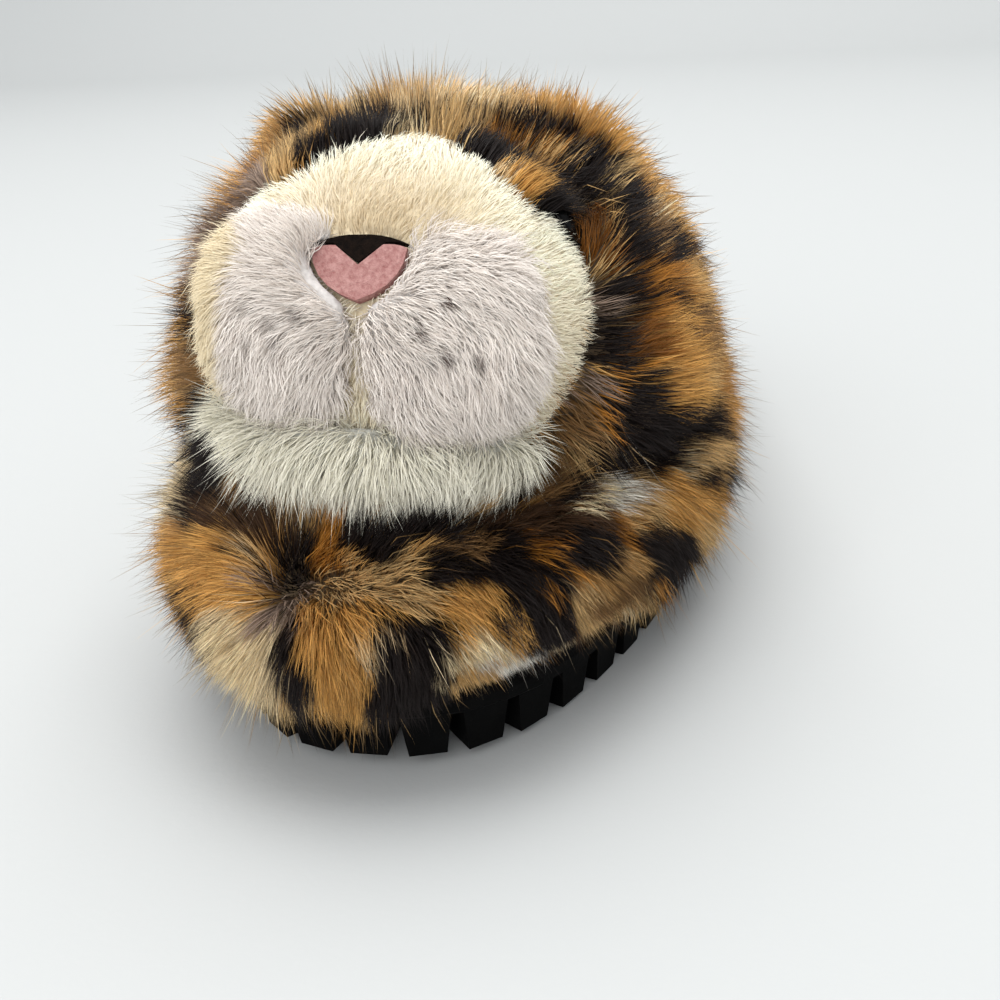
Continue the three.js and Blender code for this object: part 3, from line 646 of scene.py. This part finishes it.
# Head: forehead and cheeks cut from the same leopard pile and stuffed, sewn over the vamp.
# The pile is combed away from the muzzle, and lies down over the cheeks.
head = backing_cloth("head", 0.0025, 22, (0.10, 0.065, 0.035))
head_walls = walls_of(["upper", "muzzle", "platform_wrap", "chin", "eye_left", "eye_right"])
muzzle_low, muzzle_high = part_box("muzzle")
face_middle = np.array([(muzzle_low.x + muzzle_high.x) / 2, muzzle_low.y,
                        0.45 * muzzle_low.z + 0.55 * muzzle_high.z])


def inner_cheek(spots):
    """Share of the head's inner side at each spot"""
    return np.clip((-0.030 - spots[:, 0]) / 0.01, 0, 1)


def comb_out(spots):
    """Lay that runs away from the middle of the face, down over the cheeks and in over the
    outer half of each eye"""
    away = unit(spots - face_middle)
    lay = away * np.array([1.1, 1, 0.8]) + np.array([0, 0.25, -0.1])
    cheek = np.clip((0.078 - spots[:, 2]) / 0.02, 0, 1)[:, None]
    lay += cheek * np.array([0, -0.3, -0.6])
    lay += inner_cheek(spots)[:, None] * np.array([-0.6, -0.9, 0])
    for side in ("left", "right"):
        low, high = (np.array(corner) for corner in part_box(f"eye_{side}"))
        to_eye = (low + high) / 2 - spots
        gap = np.linalg.norm(to_eye, axis=1, keepdims=True)
        lay += np.clip((0.015 - gap) / 0.006, 0, 1) * (2.5 * to_eye / gap + np.array([0, -0.6, 0]))
    return lay


places = hair_places(head, 56000, 31, head_walls, 0.003, lambda at, n: 1.0 * (at[:, 1] < 0.05))
head_length = 0.0125 + 0.0020 * inner_cheek(places[0])
pile("head_pile", places, comb_out(places[0]), head_length, 0.00026, 0.55,
     {"share": 0.05, "pull": 0.35}, leopard_paint(31), 31)

# Ears: two small stuffed rounds of the same pile, sewn low on the corners of the head.
for side, seed in (("left", 41), ("right", 42)):
    ear = backing_cloth(f"ear_{side}", 0.0015, 4, (0.08, 0.05, 0.03))
    ear_walls = walls_of(["head", "upper"])
    places = hair_places(ear, 4500, seed, ear_walls, 0.003, lambda at, n: np.ones(len(at)))
    pile(f"ear_{side}_pile", places, comb_out(places[0]), 0.0095, 0.00028, 0.6,
         {"share": 0.06, "pull": 0.3}, leopard_paint(seed), seed)

# Muzzle: a firm stuffed ball of short cream pile that runs away from the nose on all sides, with
# painted shade in the hollow above the nose. Leopard pile is sewn over its upper edge.
muzzle = backing_cloth("muzzle", 0.002, 6, (0.70, 0.60, 0.42), 0.0003)
muzzle_walls = walls_of(["head", "pad_left", "pad_right", "chin", "nose", "nose_rim", "upper"])
nose_low, nose_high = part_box("nose")
rim_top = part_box("nose_rim")[1].z
nose_middle = (nose_low.x + nose_high.x) / 2
nose_top = np.array([nose_middle, nose_low.y, nose_high.z])
# centre and size of the painted shade in the hollow above the nose
nose_shade_middle = nose_top + np.array([0, 0.002, 0.005])
nose_shade_size = np.array([0.019, 0.020, 0.008])


def beside_nose(points):
    """True where a hair's point doesn't cover the felt nose"""
    height = (points[:, 2] - nose_low.z) / (rim_top - nose_low.z)
    half = 0.50 * (nose_high.x - nose_low.x) * np.clip(height * 1.8 + 0.10, 0, 1)
    return (height < 0) | (height > 0.80) | (abs(points[:, 0] - nose_middle) > half)


def muzzle_paint(shown, normals, chance, long_hair):
    """Cream, with painted shade in the hollow above the nose, darker low on the sides; the roots are painted
    darker as shade deep in the nap
    """
    cream = np.tile(linear("FFF7E3"), (len(shown), 1))
    # painted shade: the cream is darkened towards tan in the hollow above the nose
    hollow = np.exp(-(np.linalg.norm((shown - nose_shade_middle) / nose_shade_size, axis=1) ** 2))
    cream = blended(cream, linear("C9AC78"), 0.75 * hollow)
    cream = blended(cream, linear("F3E6C8"), np.clip((0.104 - shown[:, 2]) / 0.03, 0, 0.6))
    cream = cream * chance.normal(1, 0.04, (len(shown), 1))
    # painted shade at the roots of the nap (cream * 0.8)
    return cream * 0.8, cream, cream


SEAM = [  # x, y in the picture: upper edge of the cream pile, where the leopard pile begins
    (195, 300), (215, 245), (245, 207), (300, 180), (325, 164), (360, 150), (400, 142), (440, 144),
    (475, 164), (497, 188), (530, 214), (553, 224), (568, 244), (582, 270),
]


def past_seam(at):
    """True on the muzzle's upper edge, which is covered with leopard pile"""
    x, y = in_picture(at)
    return y < np.interp(x, *zip(*SEAM))


places = hair_places(muzzle, 7500, 52, muzzle_walls, 0.002, lambda at, n: 1.0 * past_seam(at))
pile("brow_pile", places, comb_out(places[0]), 0.0105, 0.00028, 0.75, {"share": 0.05, "pull": 0.35},
     leopard_paint(52), 52)
places = hair_places(muzzle, 34000, 51, muzzle_walls, 0.002, lambda at, n: 1.0 * ~past_seam(at))
pile("muzzle_nap", places, places[0] - nose_top + np.array([0, 0.004, 0.002]), 0.0052, 0.00020, 1.1,
     {"share": 0.05, "pull": 0.20}, muzzle_paint, 51, beside_nose, 0.02)

# Whisker pads: two stuffed rounds of grey-white pile, sewn on so that they meet at the mouth
# line. The pile fans out from the nose, with a few brown tufts for whisker roots.
WHISKERS = [  # x, y in the picture, and strength
    (452, 311, 1.0), (425, 337, 1.0), (450, 366, 1.0), (480, 370, 0.8),
    (243, 316, 0.5), (265, 330, 0.6), (292, 321, 0.7), (248, 354, 0.5), (271, 353, 0.6),
]
CREAM_RING = [(240, 232), (285, 214), (380, 216), (400, 226)]  # y, x: left of it the pile is cream
ring_fade = 8  # pixels
whisker_lift = 0.003
whisker_size = np.array([0.0009, 0.0045, 0.0013])
mouth_top = np.array([nose_middle, nose_low.y, nose_low.z])


def pad_paint(side):
    """Grey-white with fine darker streaks and the whisker roots of one pad; the hair roots are painted
    darker as shade, the ends a touch lighter as a painted highlight
    """
    pad_solid = walls_of([f"pad_{side}"])

    def paint(shown, normals, chance, long_hair):
        streak = chance.normal(0.04, 0.20, len(shown)) + 0.15 * ripple(shown, 0.004, 60)
        plain = blended(np.tile(linear("F2EAE2"), (len(shown), 1)), linear("B5A79E"), np.clip(streak, 0, 1))
        tone = plain
        for x, y, strength in WHISKERS:
            hit = pad_solid.ray_cast(eye, sight_line(x, y))[0]
            if hit is not None:
                root = np.array(hit + camera_back * whisker_lift)
                near = np.linalg.norm((shown - root) / whisker_size, axis=1)
                tone = blended(tone, linear("35180C"), strength * np.clip(1.5 - near, 0, 1))
        x, y = in_picture(shown)
        ring = np.clip((np.interp(y, *zip(*CREAM_RING)) - x) / ring_fade + 0.5, 0, 1)
        plain = blended(plain, linear("EADBBB"), ring)
        tone = blended(tone, linear("EADBBB"), ring)
        # painted shade at the hair roots (plain * 0.8) and a faint painted highlight at the ends (tone *
        # 1.03)
        return plain * 0.8, tone, tone * 1.03
    return paint


for side, seed in (("left", 61), ("right", 62)):
    pad = backing_cloth(f"pad_{side}", 0.0015, 4, (0.62, 0.59, 0.57))
    pad_walls = walls_of(["muzzle", "chin", "nose", "pad_left" if side == "right" else "pad_right"])
    places = hair_places(pad, 15000, seed, pad_walls, 0.0015, lambda at, n: np.ones(len(at)))
    lay = unit(places[0] - mouth_top) + np.array([0, 0, -0.5])
    pile(f"pad_{side}_pile", places, lay, 0.0080, 0.00022, 1.10, {"share": 0.05, "pull": 0.30},
         pad_paint(side), seed, beside_nose, 0.06)

# Chin: a stuffed bar of long white pile, sewn on under the pads and combed down over the
# platform. Leopard pile covers both of its ends.
chin = backing_cloth("chin", 0.0018, 14, (0.62, 0.62, 0.58))
chin_walls = walls_of(["muzzle", "pad_left", "pad_right", "head", "upper"])


def chin_paint(shown, normals, chance, long_hair):
    """Warm white, a little lighter and darker from hair to hair, with the roots painted darker as shade deep
    in the pile
    """
    white = np.tile(linear("F0ECDC"), (len(shown), 1)) * chance.normal(1, 0.05, (len(shown), 1))
    # painted shade at the roots of the chin pile (white * 0.78)
    return white * 0.78, white, white


CHIN_END = [(395, 208), (420, 220), (440, 234), (460, 252), (480, 275), (500, 300)]  # y, x: left end
chin_right = 534


def white_chin(at):
    """True between the ends of the white pile; past them the chin's cloth is leopard"""
    x, y = in_picture(at)
    return (x > np.interp(y, *zip(*CHIN_END))) & (x < chin_right)


places = hair_places(chin, 4500, 72, chin_walls, 0.0015, lambda at, n: 1.0 * ~white_chin(at))
pile("chin_end_pile", places, comb_out(places[0]), 0.0110, 0.00030, 0.60, {"share": 0.05, "pull": 0.35},
     leopard_paint(72), 72)
places = hair_places(chin, 16000, 71, chin_walls, 0.0015, lambda at, n: 1.0 * white_chin(at))
chin_low, chin_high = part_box("chin")
chin_top = np.array([(chin_low.x + chin_high.x) / 2, chin_high.y, chin_high.z])
fan = (places[0] - chin_top) * np.array([0.5, 1, 1])
pile("chin_pile", places, unit(fan) + np.array([0, -0.1, -1.0]), 0.0115, 0.00024, 0.80,
     {"share": 0.05, "pull": 0.30}, chin_paint, 71, None, 0.06)

# Nose and its rim: two flat pieces of wool felt glued to the front of the muzzle between the
# pads, pink below and black above.
for node, light, dark in (("nose", "BF938E", "95625F"), ("nose_rim", "1A110C", "070403")):
    felt, tree, shader = surface(f"{node}_felt", tuple(linear(light)), 0.95, Specular_IOR_Level=0.1)
    wool = grain(tree, 0.0011, 5, 0.7)
    shades(tree, shader, wool, [(0.32, tuple(linear(dark))), (0.66, tuple(linear(light)))])
    relief(tree, shader, wool, 0.0005)
    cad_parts[node].data.materials.clear()
    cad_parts[node].data.materials.append(felt)

# Eyes: smooth black plastic domes, each held through the cloth by its shank, almost hidden
# between the muzzle and the head's pile.
gloss, tree, shader = surface("eye_black", (0.003, 0.003, 0.003), 0.2, Specular_IOR_Level=0.12)
relief(tree, shader, grain(tree, 0.004), 0.00002)
for side in ("left", "right"):
    dome = even_skin(f"eye_{side}", f"eye_{side}_dome", 0.0007, 3, 0.0018)
    dome.data.materials.append(gloss)
